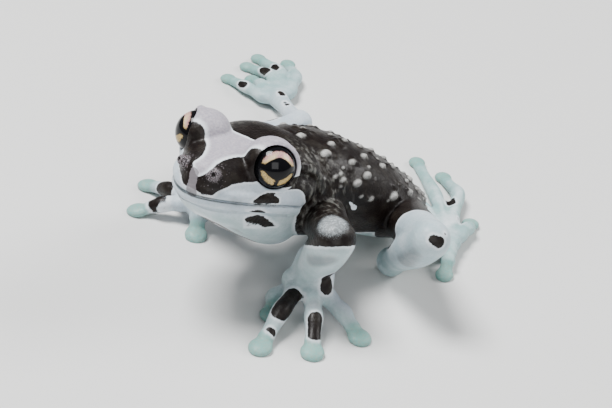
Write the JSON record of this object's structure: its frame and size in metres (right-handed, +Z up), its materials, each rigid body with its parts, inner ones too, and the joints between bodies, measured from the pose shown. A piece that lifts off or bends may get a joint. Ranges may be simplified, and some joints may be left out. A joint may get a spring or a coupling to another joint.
{
  "type": "amazon milk frog",
  "caption": "Life-size still figure of a tree frog at rest with its head raised, its arms set forward, its hind legs spread, round toe pads and a warty back.",
  "frame": {"origin": "middle of the underside of the bounding box, on the floor", "axes": "+Z up, -Y where the frog faces, +X to its left"},
  "size_m": [0.0874, 0.09, 0.0313],
  "materials": {
    "head_skin": "lavender-grey skin with dark bands, moist sheen",
    "dark_skin": "dark brown warty skin, moist sheen",
    "pale_skin": "bluish white skin, moist sheen",
    "eye": "golden iris with a black cross under a clear wet cornea"
  },
  "bodies": {
    "root": {"head": "head_skin", "lower_jaw": "pale_skin", "torso": "dark_skin", "left_eye": "eye", "right_eye": "eye", "left_upper_arm": "dark_skin", "left_forearm": "pale_skin", "left_hand": "pale_skin", "left_thigh": "pale_skin", "left_shank": "pale_skin", "left_tarsus": "pale_skin", "left_foot": "pale_skin", "left_finger_1": "pale_skin", "left_finger_2": "pale_skin", "left_finger_3": "pale_skin", "left_finger_4": "pale_skin", "left_toe_1": "pale_skin", "left_toe_2": "pale_skin", "left_toe_3": "pale_skin", "left_toe_4": "pale_skin", "left_toe_5": "pale_skin", "right_upper_arm": "dark_skin", "right_forearm": "pale_skin", "right_hand": "pale_skin", "right_thigh": "pale_skin", "right_shank": "pale_skin", "right_tarsus": "pale_skin", "right_foot": "pale_skin", "right_finger_1": "pale_skin", "right_finger_2": "pale_skin", "right_finger_3": "pale_skin", "right_finger_4": "pale_skin", "right_toe_1": "pale_skin", "right_toe_2": "pale_skin", "right_toe_3": "pale_skin", "right_toe_4": "pale_skin", "right_toe_5": "pale_skin"}
  },
  "joints": []
}
